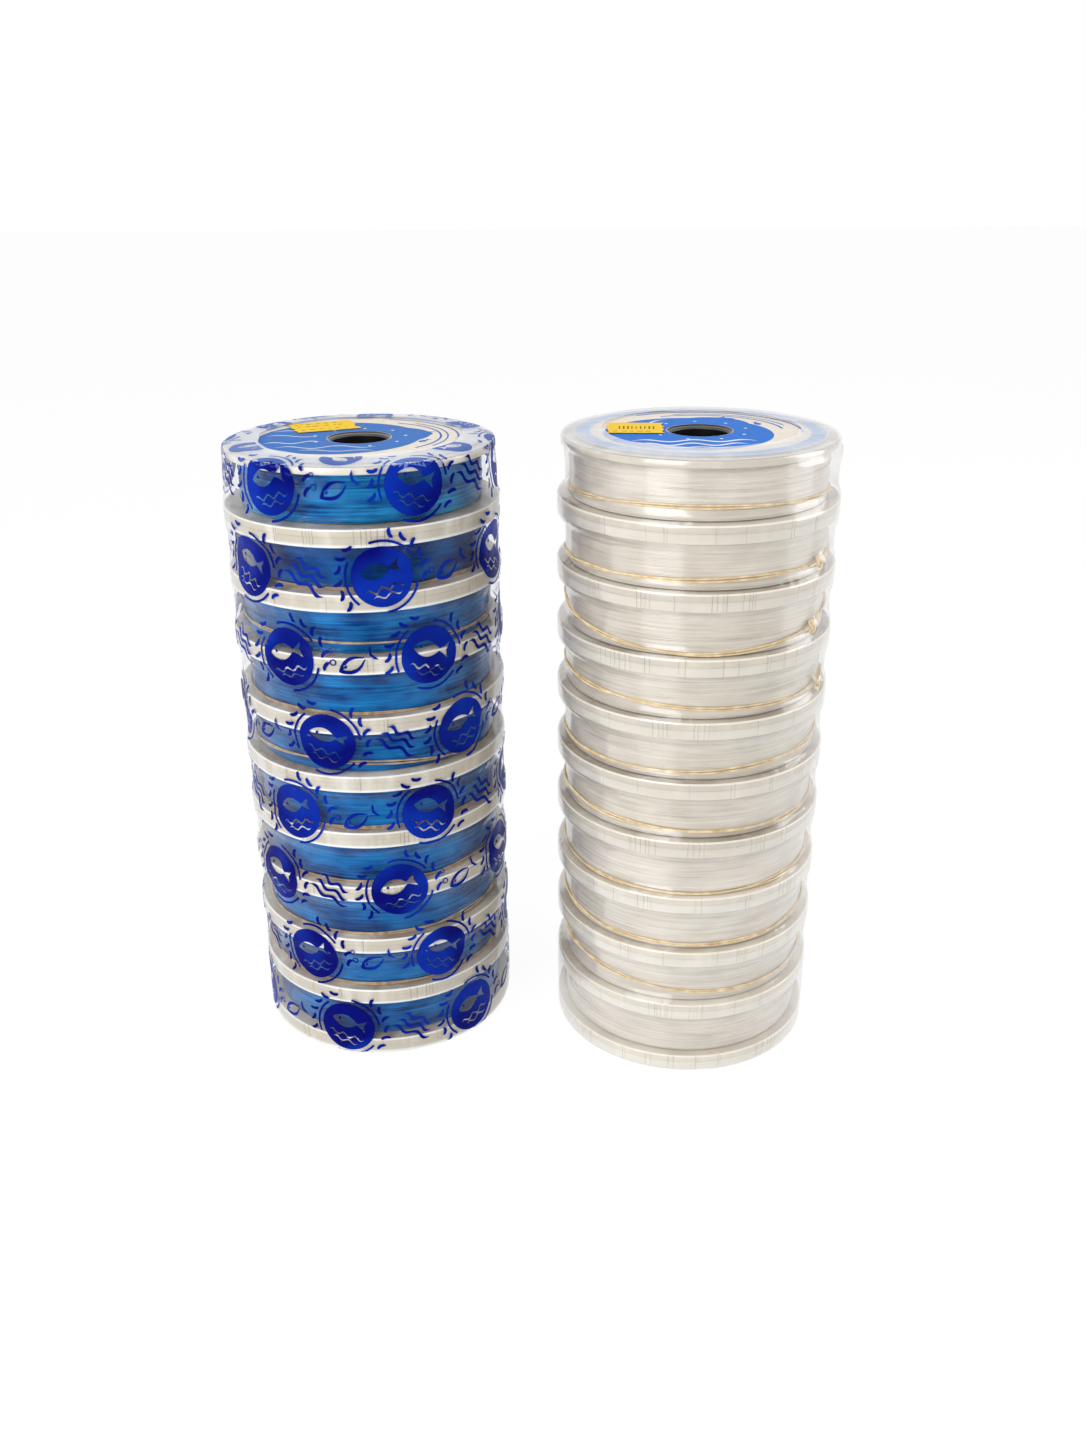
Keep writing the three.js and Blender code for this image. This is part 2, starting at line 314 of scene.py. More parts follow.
def print_ink(name, deep, bright, tint, cover):
    """Translucent ink on film, thicker in some places than in others."""
    made = Material(name, 0.3, Specular_IOR_Level=0.05)
    uneven = made.noise(260.0, detail=3.0)
    made.feed("Base Color", made.ramp(made.noise(42.0, detail=1.0), 0.1, deep, bright))
    made.show_through(made.grey(uneven, cover - 0.06, cover + 0.06), tint)
    return made.material


def paper(name, light, dark, roughness=0.5):
    """Printed paper, or rubber, with a little mottle and fibre."""
    made = Material(name, roughness, Specular_IOR_Level=0.15)
    mottle = made.noise(320.0, detail=4.0)
    made.feed("Base Color", made.ramp(mottle, 0.2, srgb(dark), srgb(light)))
    made.feed("Roughness", made.grey(mottle, roughness - 0.08, roughness + 0.1))
    made.bump(mottle, 0.2, 0.1 * MM)
    return made.material


# Arguments: rim face; painted highlight on the rim's lower edge and its height; painted
# highlight on the rim's top edge; painted shade on the ledge, dark and light; painted light on
# the upper flange; roughness; subsurface.
IVORY = moulding("ivory_moulding", "#c6bdaa", "#f4f2ec", 0.9 * MM, "#f0ebe0",
                 ("#a4967f", "#d9cfbe"), "#ddd5c8", 0.32, 0.1)
PEARL = moulding("pearl_moulding", "#cbc4b7", "#dad4c8", 3.0 * MM, "#f0eadd",
                 ("#a59783", "#d6cfc2"), "#cdc6ba", 0.2, 0.2)
# A lighter copy of the pearl plastic, ledge too, for the lower spools: painted light, as from
# the floor below.
LIT_PEARL = moulding("pale_pearl_moulding", "#d6d0c4", "#e3ded3", 3.0 * MM, "#f0eadd",
                      ("#cfc5b5", "#e9e3d7"), "#dfdace", 0.2, 0.2)
# Near-black in the bore and dark grey on the ring round its top: painted shade of the deep hole.
BORE_SHADE = plain_moulding("dark_bore", "#0a0a0b", 0.5, 0.0, Specular_IOR_Level=0.1)
BORE_EDGE_SHADE = plain_moulding("bore_edge", "#3f3f43", 0.4, 0.1)
BLUE_TINT = {"Specular_IOR_Level": 0.6, "Specular_Tint": (0.02, 0.32, 0.9, 1.0)}
CLEAR_GLOSS = {"Specular_IOR_Level": 1.0, "Coat_Weight": 0.3, "Coat_Roughness": 0.08}
BLUE_NYLON = nylon("blue_nylon", ("#00104a", "#02397c", "#1483c4"), 0.14, 0.5, **BLUE_TINT)
BRIGHT_BLUE_NYLON = nylon("bright_blue_nylon", ("#001056", "#05478c", "#2ba2d6"), 0.14, 0.5,
                          **BLUE_TINT)
DEEP_BLUE_NYLON = nylon("deep_blue_nylon", ("#000a46", "#001f60", "#085fa6"), 0.14, 0.6,
                        **BLUE_TINT)
CLEAR_NYLON = nylon("clear_nylon", ("#b2aa9b", "#c8c0b3", "#dad4c8"), 0.15, 0.35, **CLEAR_GLOSS)
# A lighter copy of the clear line for the spools that catch more light: painted light.
LIT_NYLON = nylon("pale_nylon", ("#b8b0a4", "#cdc6bb", "#e0dad0"), 0.15, 0.35, **CLEAR_GLOSS)
RUBBER = paper("tan_rubber", "#f4e2ba", "#d0b07c", 0.38)
RUBBER_PALE = paper("pale_rubber", "#cbb091", "#8f7459", 0.5)
PRINTED_FILM = see_through("printed_film", 0.006, 0.006, 0.6, 0.9, 0.05,
                           (0.98, 0.985, 1.0, 1.0), (0.92, 0.93, 0.95, 1))
PLAIN_FILM = see_through("plain_film", 0.055, 0.03, 0.8, 0.9, 0.18,
                         (0.995, 0.99, 0.985, 1.0), (0.94, 0.94, 0.945, 1))
MILKY_LIP = {
    "blue": see_through("milky_lip_a", 0.5, 0.12, 0.3, 0.0, 0.3, (0.98, 0.98, 1.0, 1.0),
                        (0.9, 0.92, 0.945, 1)),
    "clear": see_through("milky_lip_b", 0.48, 0.1, 0.3, 0.0, 0.3, (0.98, 0.98, 1.0, 1.0),
                         (0.97, 0.97, 0.97, 1)),
}
INK = print_ink("blue_ink", (0.0, 0.0015, 0.15, 1.0), (0.002, 0.026, 0.36, 1.0),
                (0.003, 0.07, 0.7, 1.0), 0.82)
INK_PALE = print_ink("blue_ink_on_fold", (0.09, 0.16, 0.5, 1.0), (0.16, 0.26, 0.6, 1.0),
                     (0.4, 0.55, 0.95, 1.0), 0.65)
LABEL_CREAM = paper("label_cream", "#f7efe2", "#efe4d3")
LABEL_BLUE = {"blue": paper("label_blue_a", "#357acd", "#2b6cbe"),
              "clear": paper("label_blue_b", "#1a7be0", "#0d6bcc")}
LABEL_PALE = {"blue": paper("label_pale_a", "#d3dcf0", "#c6d1ea"),
              "clear": paper("label_pale_b", "#6aaeea", "#509bdc")}
LABEL_WHITE = paper("label_white", "#fbfcff", "#eef2fa")
STICKER_YELLOW = paper("sticker_yellow", "#ffd829", "#fccb18")
STICKER_PRINT = paper("sticker_print", "#8a5410", "#6e3f08")

# The windings that differ from the rest of their stack, by spool number from the top.
NYLONS = {"blue": {1: BRIGHT_BLUE_NYLON, 2: DEEP_BLUE_NYLON},
          # The clear stack's top spool and lowest four wind the lighter, lit copy of the line:
          # painted light.
          "clear": dict.fromkeys((1, 7, 8, 9, 10), LIT_NYLON)}
FIRST_LIT_SPOOL = 7  # the clear stack's spools take the lighter, lit copy of the plastic from here down: painted light


# ---- mesh helpers ----
def new_object(name, data):
    made = bpy.data.objects.new(name, data)
    bpy.context.scene.collection.objects.link(made)
    return made


def make_piece(name, verts, faces, materials, nodes=(), face_slots=None, sharp=35,
               at=(0, 0, 0), rng=None):
    """A mesh piece that rides on the part and stands for some of its solids.

    A random origin beside the piece gives it a stretch of the textures of its own.
    """
    origin = np.array((rng.uniform(-0.3, 0.3), rng.uniform(-0.3, 0.3), 0) if rng else (0, 0, 0))
    mesh = bpy.data.meshes.new(name)
    mesh.from_pydata((np.asarray(verts) - origin).tolist(), [], [tuple(f) for f in faces])
    for material in materials:
        mesh.materials.append(material)
    if face_slots is not None:
        mesh.polygons.foreach_set("material_index", face_slots)
    mesh.shade_smooth()
    mesh.set_sharp_from_angle(angle=math.radians(sharp))
    mesh.validate()
    piece = new_object(name, mesh)
    piece.location = Vector(at) + Vector(origin)
    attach(piece, "root")
    if nodes:
        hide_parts(*nodes)
    return piece


def grid_faces(rows, columns, close_rows=False):
    """Quads of a surface of rows by columns, whose columns go all the way round."""
    row = np.arange(rows if close_rows else rows - 1)[:, None]
    column = np.arange(columns)[None, :]
    after = (row + 1) % rows
    beside = (column + 1) % columns
    quads = [row * columns + column, row * columns + beside,
             after * columns + beside, after * columns + column]
    return np.stack([np.broadcast_to(q, (len(row), columns)) for q in quads], -1).reshape(-1, 4)


def fillet(corners, steps=4):
    """A closed outline of (r, z, radius) corners with each corner rounded by its radius."""
    points = []
    count = len(corners)
    for i, (r, z, radius) in enumerate(corners):
        here = Vector((r, z))
        if not radius:
            points.append((r, z))
            continue
        before = (Vector(corners[i - 1][:2]) - here).normalized()
        after = (Vector(corners[(i + 1) % count][:2]) - here).normalized()
        half = before.angle(after) / 2
        centre = here + (before + after).normalized() * (radius / math.sin(half))
        start = here + before * (radius / math.tan(half)) - centre
        end = here + after * (radius / math.tan(half)) - centre
        for k in range(steps + 1):
            spoke = start.lerp(end, k / steps).normalized() * radius
            points.append(tuple(centre + spoke))
    return points


def smooth(value):
    """Smooth step from 0 to 1."""
    t = np.clip(value, 0, 1)
    return t * t * (3 - 2 * t)


def polar(radius, theta, height):
    """Points at radii, angles and heights round the z axis."""
    points = radius * np.cos(theta), radius * np.sin(theta), height
    return np.stack(np.broadcast_arrays(*points), -1)


def unit(vectors):
    return vectors / (np.linalg.norm(vectors, axis=1, keepdims=True) + 1e-12)


def tube(path, width, thick, sides=8, closed=True):
    """An oval tube along a path of points, flat side towards the stack's axis at (0, 0)."""
    if closed:
        along = unit(np.roll(path, -1, 0) - np.roll(path, 1, 0))
    else:
        along = unit(np.gradient(path, axis=0))
    across = unit(np.cross(along, unit(path * [1, 1, 0])))
    outward = np.cross(across, along)
    angle = np.arange(sides) / sides * TAU
    ring = (across[:, None] * np.cos(angle)[None, :, None] * width / 2
            + outward[:, None] * np.sin(angle)[None, :, None] * thick / 2)
    verts = (path[:, None] + ring).reshape(-1, 3)
    faces = grid_faces(len(path), sides, close_rows=closed).tolist()
    if not closed:
        last = (len(path) - 1) * sides
        faces += [list(range(sides))[::-1], [last + k for k in range(sides)]]
    return verts, faces


def joined(parts):
    """One list of points and faces from several."""
    verts, faces = [], []
    for part_verts, part_faces in parts:
        start = len(verts)
        verts.extend(tuple(v) for v in part_verts)
        faces.extend([i + start for i in face] for face in part_faces)
    return verts, faces


# ---- spools ----
def spool_outline(stack):
    """Radius and height round a spool's section, from the foot of its bore."""
    height = stack.height
    inner = DRUM_R - DRUM_WALL
    hub = BORE_R + HUB_WALL
    corners = [
        (BORE_R, CUP_DEPTH, CORNER), (hub, CUP_DEPTH, CORNER),
        (hub, height - WEB, FILLET), (inner, height - WEB, FILLET),
        (inner, CUP_DEPTH, CORNER), (stack.rim_r - SKIRT_WALL, CUP_DEPTH, 0.4 * MM),
        (stack.rim_r - SKIRT_WALL, 0, CORNER), (stack.rim_r - SKIRT_STEP, 0, 0.35 * MM),
        (stack.rim_r - SKIRT_STEP, SKIRT_LINE, 0.07 * MM),
        (stack.rim_r, SKIRT_LINE + 0.3 * MM, 0.07 * MM),
        (stack.rim_r, RIM_HEIGHT, 0.5 * MM), (DRUM_R, RIM_HEIGHT, FILLET),
        (DRUM_R, height - UPPER_FLANGE, FILLET),
        (stack.upper_r, height - UPPER_FLANGE, 0.4 * MM), (stack.upper_r, height, 0.5 * MM),
        (BORE_R + BORE_RING, height, 0.0), (BORE_R, height, 0.9 * MM),
    ]
    return fillet(corners)


def rim_notches(rng, sparse):
    """Angles of the shallow upright notches round one rim: single ones and tight clusters."""
    angles = []
    at = rng.uniform(0, 0.2)
    while at < TAU - 0.25:
        for _ in range(rng.choice((1, 1, 1, 2, 2, 4, 7))):
            angles.append(at)
            at += rng.uniform(0.014, 0.05)
        at += rng.uniform(0.08, 0.34) * sparse
    return angles


def make_spool(stack, number, material, rng):
    """The section turned round the bore, with its rim cut in at each notch."""
    outline = np.array(spool_outline(stack))
    floor = stack.floors[number - 1]
    half = NOTCH_WIDTH / 2 / stack.rim_r
    thetas = [i / SPOOL_STEPS * TAU for i in range(SPOOL_STEPS)]
    depth_at = {}
    for angle in rim_notches(rng, 2.2 if stack is BLUE else 1.0):
        thetas = [t for t in thetas if abs(t - angle) > 1.3 * half]
        deep = rng.uniform(0.5, 1.0) * NOTCH_DEPTH
        for offset, depth in ((-half, 0), (-half / 2, deep), (half / 2, deep), (half, 0)):
            thetas.append(angle + offset)
            depth_at[angle + offset] = depth
    thetas = np.array(sorted(thetas))
    depths = np.array([depth_at.get(t, 0.0) for t in thetas])
    radius = np.repeat(outline[:, :1], len(thetas), axis=1)
    on_rim = outline[:, 0] > stack.rim_r - SKIRT_STEP - 0.02 * MM
    radius[on_rim] -= depths[None, :]
    verts = polar(radius, thetas, outline[:, 1:])
    faces = grid_faces(len(outline), len(thetas), close_rows=True)
    ring_r, ring_z = outline[faces[:, 0] // len(thetas)].T
    in_bore = ring_r < BORE_R + BORE_RING
    # Faces in the bore take the painted bore shade, those at its top the painted shade of the
    # ring.
    face_slots = np.where(in_bore, np.where(ring_z > stack.height - 0.4 * MM, 2, 1), 0)
    name = f"{stack.name}_spool_{number:02d}"
    return make_piece(f"{name}_moulding", verts.reshape(-1, 3), faces,
                      [material, BORE_SHADE, BORE_EDGE_SHADE],
                      [name], face_slots,
                      at=stack.at(0, 0, floor), rng=rng)


# ---- line ----
def winding_mesh(stack, line_r, rng):
    """Turns of line side by side: one helical ridge that sinks a little towards both ends."""
    bottom = RIM_HEIGHT + 0.3 * MM
    top = stack.height - UPPER_FLANGE - 0.3 * MM
    turns = int((top - bottom) / LINE_DIAMETER)
    rows = (turns + 1) * POINTS_PER_TURN + 1
    columns = LINE_STEPS
    theta = np.arange(columns) / columns * TAU
    turn = (np.arange(rows) / POINTS_PER_TURN - 1)[:, None] + (theta / TAU)[None, :]
    turn = np.clip(turn, 0, turns)
    crest = np.abs(np.sin(math.pi * turn))
    wander = np.zeros_like(turn)
    for wave in range(6):
        wander += np.sin(turn * rng.uniform(0.15, 1.9) + theta * rng.randint(0, 3)
                         + rng.uniform(0, TAU)) / 6
    edge = smooth(np.minimum(turn, turns - turn) / 3.0)
    radius = (line_r - 0.3 * MM * (1 - edge) - LINE_DIAMETER * TURN_TROUGH * (1 - crest)
              - TURN_WANDER * (0.5 + 0.5 * wander))
    height = bottom + turn / turns * (top - bottom)
    verts = polar(radius, theta, height).reshape(-1, 3)
    faces = []
    for row in range(rows - 1):
        for column in range(columns):
            here, beside = row * columns + column, row * columns + column + 1
            if column == columns - 1:  # the last column meets the first one a turn further up
                beside = (row + POINTS_PER_TURN) * columns
            if beside + columns >= rows * columns:
                continue
            quad = [here, beside, beside + columns, here + columns]
            ends = turn.reshape(-1)[quad]
            if ends.max() > 0 and ends.min() < turns:
                faces.append(quad)
    return verts, faces


def crossing_strands(line_r, rng, count=10):
    """A few turns that cross the others at a slant and dive back under them."""
    parts = []
    for _ in range(count):
        start = rng.uniform(0, TAU)
        span = rng.uniform(0.8, 2.6)
        low = RIM_HEIGHT + rng.uniform(1.5, 12.0) * MM
        climb = rng.uniform(-1.0, 1.0) * MM
        t = np.linspace(0, 1, 40)
        inward = np.minimum(t, 1 - t)
        proud = 0.16 * MM * np.minimum(1, 6 * inward) - 0.2 * MM * (inward < 0.01)
        path = polar(line_r - 0.2 * MM + proud, start + span * t, low + climb * t)
        parts.append(tube(path, 0.9 * LINE_DIAMETER, 0.9 * LINE_DIAMETER, 6, closed=False))
    return parts


def make_winding(stack, number, material, rng):
    line_r = stack.line_r[number - 1]
    verts, faces = joined([winding_mesh(stack, line_r, rng)] + crossing_strands(line_r, rng))
    nodes = [f"{stack.name}_line_{number:02d}"]
    if number == 1:
        nodes.append(f"{stack.name}_line_turns")
    return make_piece(f"{stack.name}_winding_{number:02d}", verts, faces, [material],
                      nodes, sharp=80,
                      at=stack.at(0, 0, stack.floors[number - 1]), rng=rng)


# ---- rubber bands ----
def band_height(heights, theta):
    """Height of a band above its rim, through its heights at the left, front and right."""
    rows = [(1, math.cos(a), math.sin(a)) for a in BAND_ANGLES]
    middle, along_x, along_y = np.linalg.solve(rows, np.array(heights) * MM)
    height = middle + along_x * np.cos(theta) + along_y * np.sin(theta)
    return np.clip(height, STRAND * 0.6, BAND_TOP)


def band_strand(line_r, heights, rng, side):
    """One strand of a band, which wavers and crosses over the other one."""
    theta = np.linspace(0, TAU, 180, endpoint=False)
    height = band_height(heights, theta)
    for wave in (2, 3, 5, 9):
        height = height + rng.uniform(0.1, 0.5) * MM / wave * np.sin(wave * theta + rng.random())
    twist = np.sin(5 * theta + 2 * np.sin(2 * theta) + heights[0])
    z = RIM_HEIGHT + np.maximum(height + side * STRAND_SPREAD * twist, STRAND * 0.5)
    radius = line_r + STRAND * (0.55 + 0.35 * side * np.cos(5 * theta + heights[1]))
    return polar(radius, theta, z)


def band_knot(line_r, angle, height, rng):
    """The knot where a band is tied: a tight overhand loop with loose ends."""
    t = np.linspace(0, TAU, 48, endpoint=False)
    local = np.stack([(np.sin(t) + 2 * np.sin(2 * t)) * 0.55,
                      (np.cos(t) - 2 * np.cos(2 * t)) * 0.55,
                      -np.sin(3 * t) * 0.35], -1) * KNOT_SIZE
    radius = line_r + 1.2 * MM
    outward = np.array([math.cos(angle), math.sin(angle), 0])
    sideways = np.array([-math.sin(angle), math.cos(angle), 0])
    upward = np.array([0, 0, 1])
    centre = outward * radius + upward * (RIM_HEIGHT + height)
    knot = centre + local[:, :1] * sideways + local[:, 1:2] * upward + local[:, 2:] * outward
    parts = [tube(knot, 0.85 * MM, 0.8 * MM, 6)]
    for side in (-1, 1, 1):
        s = np.linspace(0, 1, 14)[:, None]
        reach = rng.uniform(3.0, 6.0) * MM
        lift = rng.uniform(-1.0, 4.4) * MM
        end = (centre + sideways * side * reach * s + upward * lift * s ** 2
               - outward * 0.5 * MM * s + outward * 0.25 * MM * np.sin(s * math.pi))
        parts.append(tube(end, 1.0 * MM, 0.7 * MM, 6, closed=False))
    return parts


def make_band(stack, number, material, rng):
    heights = BANDS[stack.name][number]
    line_r = stack.line_r[number - 1]
    state = rng.getstate()
    parts = []
    for side in (-1, 1):
        rng.setstate(state)
        parts.append(tube(band_strand(line_r, heights, rng, side), STRAND, STRAND, 8))
    floor = stack.floors[number - 1]
    if stack is CLEAR and number in KNOTS:
        angle = KNOTS[number]
        height = float(band_height(heights, angle))
        parts += band_knot(line_r, angle, height, rng)
        stack.bumps.append((angle, floor + RIM_HEIGHT + height))
    verts, faces = joined(parts)
    name = f"{stack.name}_band_{number:02d}"
    nodes = [name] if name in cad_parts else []
    return make_piece(f"{name}_rubber", verts, faces, [material], nodes, sharp=80,
                      at=stack.at(0, 0, floor))


# ---- film ----
def film_profile(stack):
    """Radius and height along the film, from the bottom opening over the wall to the top one."""
    wall = stack.rim_r + FILM_CLEARANCE
    lip_z = stack.top + LIP_LIFT
    knots = [(stack.bottom_opening_r, 0.12 * MM)]
    knots += [(wall - FILM_CORNER * (1 - math.sin(turn)),
               0.1 * MM + FILM_CORNER * (1 - math.cos(turn))) for turn in QUARTER_TURN]
    for floor in reversed(stack.floors):
        rim_top = floor + RIM_HEIGHT
        knots += [(wall, max(floor + 0.4 * MM, 2.0 * MM)), (wall, rim_top - 0.2 * MM)]
        clear = stack.pitch - RIM_HEIGHT
        if floor == stack.floors[-1]:
            continue
        if floor == stack.floors[0]:
            clear = stack.height - RIM_HEIGHT - UPPER_FLANGE
        for k in range(1, 14):
            t = k / 14
            dip = stack.waist * float(smooth(min(t, 1 - t) / 0.22))
            knots.append((wall - dip, rim_top + clear * t))
    flange = stack.upper_r + FILM_CLEARANCE
    kept = [knot for knot in knots if knot[1] < stack.floors[0] + RIM_HEIGHT + 10 * MM]
    edge = flange + 0.4 * MM
    kept.append((edge, stack.top - UPPER_FLANGE))
    rest_z = stack.top + 0.4 * MM
    kept += [(edge - FILM_SHOULDER * (1 - math.cos(turn)),
              rest_z - 0.8 * FILM_SHOULDER * (1 - math.sin(turn))) for turn in QUARTER_TURN]
    kept += [(stack.label_r + 3 * MM, rest_z + 0.1 * MM), (stack.label_r, lip_z - 0.1 * MM),
             (stack.opening_r, lip_z), (stack.opening_r - LIP_CURL, lip_z + 0.25 * MM)]
    kept = np.array(kept)
    length = np.concatenate([[0], np.cumsum(np.hypot(*np.diff(kept, axis=0).T))])
    along = np.arange(0, length[-1], 0.25 * MM)
    return along, np.interp(along, length, kept[:, 0]), np.interp(along, length, kept[:, 1])


def film_wrinkle(stack, theta, radius, height):
    """How far the film stands off its even shape: creases drawn tight between the rims."""
    off_rim = smooth((stack.rim_r + FILM_CLEARANCE - radius) / (0.8 * stack.waist))
    level = height / stack.pitch
    phase = (height - stack.floors[-1]) / stack.pitch
    crease = (np.sin(19 * theta + 3 * np.sin(2.1 * level) + 5 * np.sin(theta))
              + 0.7 * np.sin(31 * theta - 2.3 * level + 4 * np.sin(2 * theta))
              + 0.8 * np.sin(7 * theta + 1.7 * level)) / 2.5
    slack = np.sin(3 * theta + 2.9 * level) * np.sin(5 * theta - 1.3 * level)
    tucks = (np.sin(61 * theta + 4 * np.sin(3 * theta + 5 * np.floor(phase)))
             * smooth(2.2 * np.sin(4 * theta + 2.3 * np.floor(phase)) - 0.6))
    under_rim = (np.exp(-((phase % 1 - 0.94) / 0.05) ** 2)
                 + np.exp(-((phase % 1 - 0.33) / 0.04) ** 2))
    bump = 0
    for angle, at in stack.bumps:
        turn = (theta - angle + math.pi) % TAU - math.pi
        bump = bump + KNOT_BUMP * np.exp(-(turn * stack.rim_r / KNOT_BUMP_REACH) ** 2
                                         - ((height - at) / KNOT_BUMP_REACH) ** 2)
    return (stack.wrinkle * off_rim * (crease + 0.8 * slack - 0.5)
            + stack.pull * off_rim * np.cos(theta) + TUCK_DEPTH * tucks * under_rim + bump)


def film_points(stack, along, theta, lift=0.0):
    """Points of the film at distances along its profile and angles round it."""
    steps, *outline = stack.profile
    radius, height = [np.interp(along, steps, values) for values in outline]
    slope_r, slope_z = [np.interp(along + 0.3 * MM, steps, values)
                        - np.interp(along - 0.3 * MM, steps, values) for values in outline]
    size = np.hypot(slope_r, slope_z) + 1e-12
    wrinkle = film_wrinkle(stack, theta, radius, height) * (height < stack.top - UPPER_FLANGE)
    radius = radius + wrinkle + lift * slope_z / size
    height = height - lift * slope_r / size
    ease = (stack.upper_r - radius) / (stack.upper_r - stack.opening_r)
    uneven = (np.sin(3 * theta + 1) + 0.7 * np.sin(7 * theta) + 0.4 * np.sin(16 * theta + 2))
    radius = radius + LIP_WAVER * uneven * smooth(ease) * (height > stack.top)
    return polar(radius, theta, height) + np.array(stack.centre)


def make_film(stack, material):
    stack.profile = film_profile(stack)
    steps, _, heights = stack.profile
    stack.lip_start = steps[np.argmax(heights > stack.top + 0.1 * MM)]
    along = np.linspace(0, steps[-1], int(steps[-1] / FILM_STEP))
    theta = np.arange(FILM_STEPS) / FILM_STEPS * TAU
    verts = film_points(stack, along[:, None], theta[None, :]).reshape(-1, 3)
    faces = grid_faces(len(along), FILM_STEPS)
    on_lip = (along[faces[:, 0] // FILM_STEPS] > stack.lip_start).astype(int)
    return make_piece(f"{stack.name}_shrink_film", verts, faces,
                      [material, MILKY_LIP[stack.name]], [f"{stack.name}_film"], on_lip,
                      sharp=60)


# ---- flat artwork, in millimetres: outlines filled with triangles ----
def placed(points, x=0.0, y=0.0, turn=0.0):
    """Points turned about the origin and then moved."""
    cos, sin = math.cos(turn), math.sin(turn)
    return [(x + px * cos - py * sin, y + px * sin + py * cos) for px, py in points]


def circle(x, y, radius, points=40):
    return [(x + radius * math.cos(k / points * TAU), y + radius * math.sin(k / points * TAU))
            for k in range(points)]


def two_discs(first, second, points=96):
    """The outline round two overlapping discs (x, y, radius) that both hold the origin."""
    outline = []
    for k in range(points):
        ux, uy = math.cos(k / points * TAU), math.sin(k / points * TAU)
        reach = max(ux * x + uy * y + math.sqrt((ux * x + uy * y) ** 2 + r * r - x * x - y * y)
                    for x, y, r in (first, second))
        outline.append((ux * reach, uy * reach))
    return outline


def fish(x, y, length, turn=0.0, grow=0.0):
    """A plain fish outline, nose to the left; grow moves the outline outwards."""
    points = []
    for k in range(15):
        t = k / 14
        points.append((-0.5 + 0.74 * t, 0.21 * math.sin(math.pi * min(0.97, t)) ** 0.8))
    tail = [(0.36, 0.1), (0.5, 0.2), (0.43, 0.0), (0.5, -0.2), (0.36, -0.1)]
    outline = points + tail + [(px, -py) for px, py in reversed(points[1:])]
    wide, high = length + 2 * grow, length + 4 * grow
    return placed([(px * wide, py * high) for px, py in outline], x, y, turn)


def wave(x, y, length, swing, stroke, waves=2.0, turn=0.0):
    """A wavy stroke of even thickness with pointed ends."""
    upper, lower = [], []
    for t in np.linspace(0, 1, 29):
        middle = swing * math.sin(t * waves * TAU)
        half = stroke / 2 * min(1.0, 0.15 + 6 * min(t, 1 - t))
        upper.append(((t - 0.5) * length, middle + half))
        lower.append(((t - 0.5) * length, middle - half))
    return placed(upper + lower[::-1], x, y, turn)


def arc(x, y, radius, stroke, start, end):
    """A curved stroke from one angle to another."""
    angles = np.linspace(start, end, max(6, int(abs(end - start) / 0.15)) + 1)
    outer, inner = [[(x + r * math.cos(a), y + r * math.sin(a)) for a in angles]
                    for r in (radius + stroke / 2, radius - stroke / 2)]
    return outer + inner[::-1]


def inside(points, loops):
    """Which points lie inside an odd number of loops."""
    x, y = np.asarray(points).T
    odd = np.zeros(len(x), bool)
    for loop in loops:
        for (ax, ay), (bx, by) in zip(loop, loop[1:] + loop[:1]):
            if ay != by:
                odd ^= ((ay > y) != (by > y)) & (x < ax + (y - ay) / (by - ay) * (bx - ax))
    return odd


def fill(loops, spacing):
    """Points and triangles that fill loops by the even-odd rule, with points in between."""
    outline = [Vector(p) for loop in loops for p in loop]
    edges = []
    start = 0
    for loop in loops:
        count = len(loop)
        edges += [(start + k, start + (k + 1) % count) for k in range(count)]
        start += count
    flat = np.array([tuple(p) for p in outline])
    low, high = flat.min(0), flat.max(0)
    xs = np.arange(low[0] + spacing / 2, high[0], spacing)
    ys = np.arange(low[1] + spacing / 2, high[1], spacing)
    lattice = np.array([(x, y) for x in xs for y in ys]).reshape(-1, 2)
    if len(lattice):
        gap = np.sqrt(((lattice[:, None] - flat[None]) ** 2).sum(-1)).min(1)
        lattice = lattice[inside(lattice, loops) & (gap > spacing * 0.4)]
    points = outline + [Vector(p) for p in lattice]
    verts, _, faces, *_ = delaunay_2d_cdt(points, edges, [], 0, 1e-9)
    centres = np.array([sum((verts[i] for i in face), Vector((0, 0))) / len(face)
                        for face in faces])
    keep = inside(centres, loops)
    return [tuple(v) for v in verts], [list(f) for f, kept in zip(faces, keep) if kept]


# ---- print on the blue stack's film ----
def roundel():
    """A disc with a fish and two waves left clear, a broken ring and short strokes round it."""
    loops = [circle(0, 0, 9.7), fish(0, 2.0, 12.6), circle(-3.6, 2.5, 0.5, 12)]
    loops += [wave(0, -3.9, 13, 0.7, 0.7, 3), wave(0, -6.1, 9.4, 0.6, 0.6, 2)]
    for start in (0.35, 2.45, 4.55):
        loops.append(arc(0, 0, 11.4, 0.8, start, start + 1.3))
    for start in (-0.35, 2.15):
        for k in range(6):
            at = start + 0.29 * k
            loops.append(wave(*placed([(14.0, 0)], turn=at)[0], 3.6, 0.5, 1.2, 0.5,
                              at + (0.5 if k % 2 else 1.1)))
    return loops


def bubbles(x, y, sizes):
    """Rings of falling size, rising from a point."""
    loops = []
    for k, size in enumerate(sizes):
        cx = x + 1.4 * math.sin(2.1 * k)
        cy = y + 3.6 * k
        loops += [circle(cx, cy, size, 18), circle(cx, cy, size * 0.62, 18)]
    return loops


def swell():
    """Three wave strokes, one above another."""
    return [wave(0, 2.9 * k, 13 - 2 * k, 0.8, 1.25, 2) for k in (-1, 0, 1)]


def small_fish():
    """A fish drawn in outline, with bubbles above its nose."""
    loops = [fish(0, 0, 13), fish(0.2, 0, 13, grow=-1.35), circle(-3.8, 0.6, 0.6, 10)]
    return loops + bubbles(-6.5, 3.6, (1.1, 0.8))


